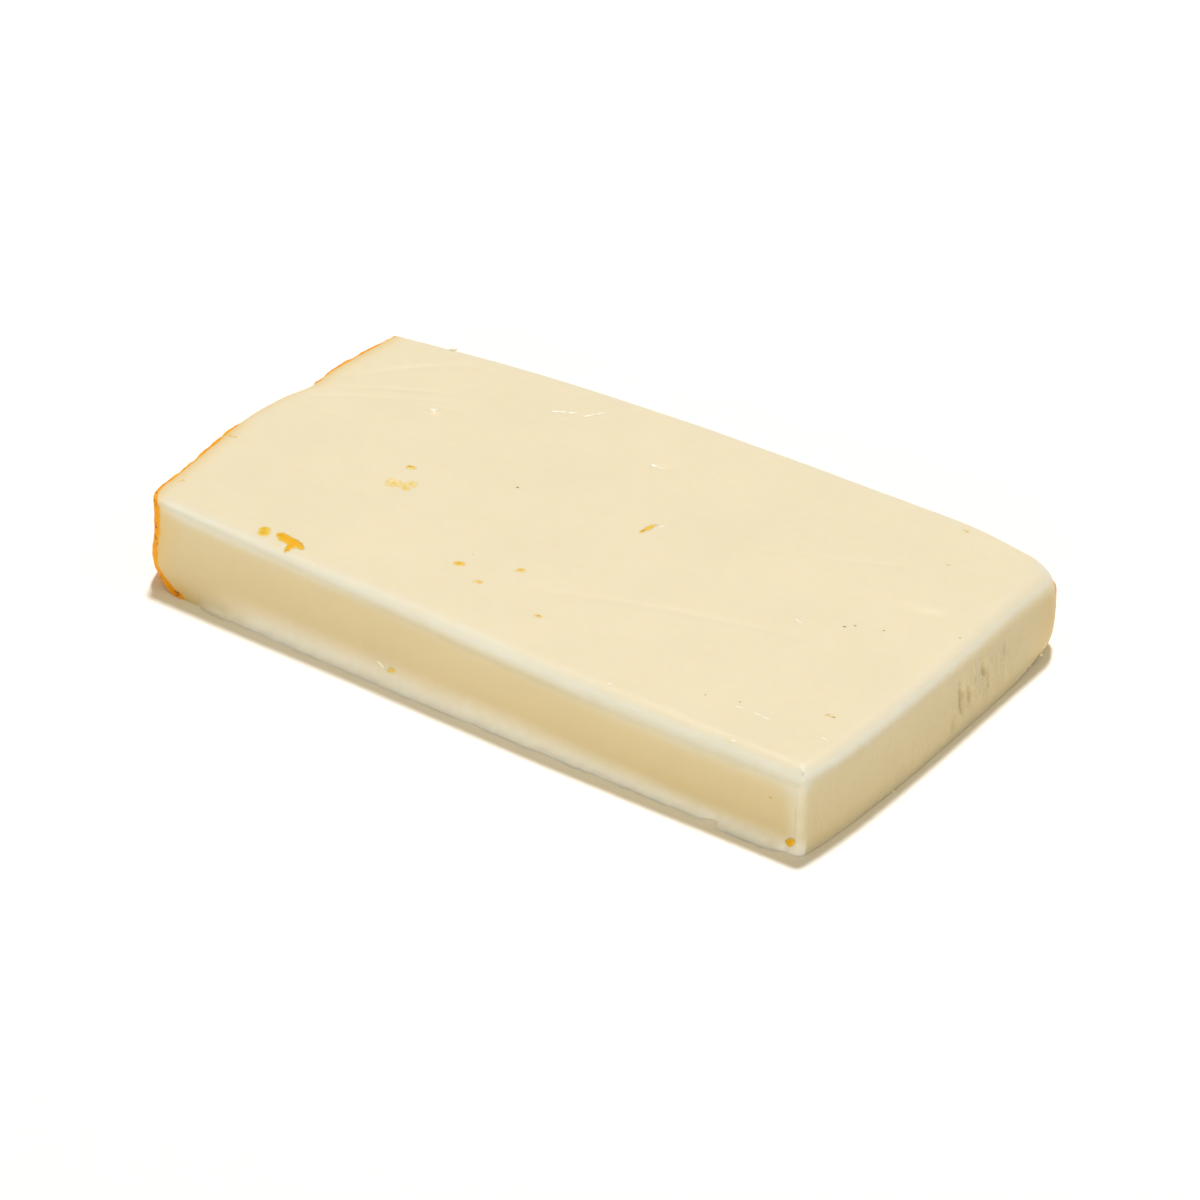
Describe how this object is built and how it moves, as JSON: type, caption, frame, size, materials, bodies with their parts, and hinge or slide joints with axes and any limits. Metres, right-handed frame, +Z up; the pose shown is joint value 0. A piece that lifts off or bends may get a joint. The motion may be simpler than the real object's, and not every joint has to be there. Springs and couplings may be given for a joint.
{
  "type": "cheese slab",
  "caption": "Flat slab of pale semi-soft cheese, cut on its long sides and one end, with a thin orange washed rind on the other end, resting on its cut underside.",
  "frame": {"origin": "on the underside, below the middle of the slab's box", "axes": "+X along the slab from the rind end to the cut end, +Y from the front cut to the back cut, +Z up from the underside it rests on"},
  "size_m": [0.1568, 0.0884, 0.0187],
  "materials": {
    "cheese_paste": "satin"
  },
  "bodies": {
    "root": {"cheese_slab": "cheese_paste"}
  },
  "joints": []
}
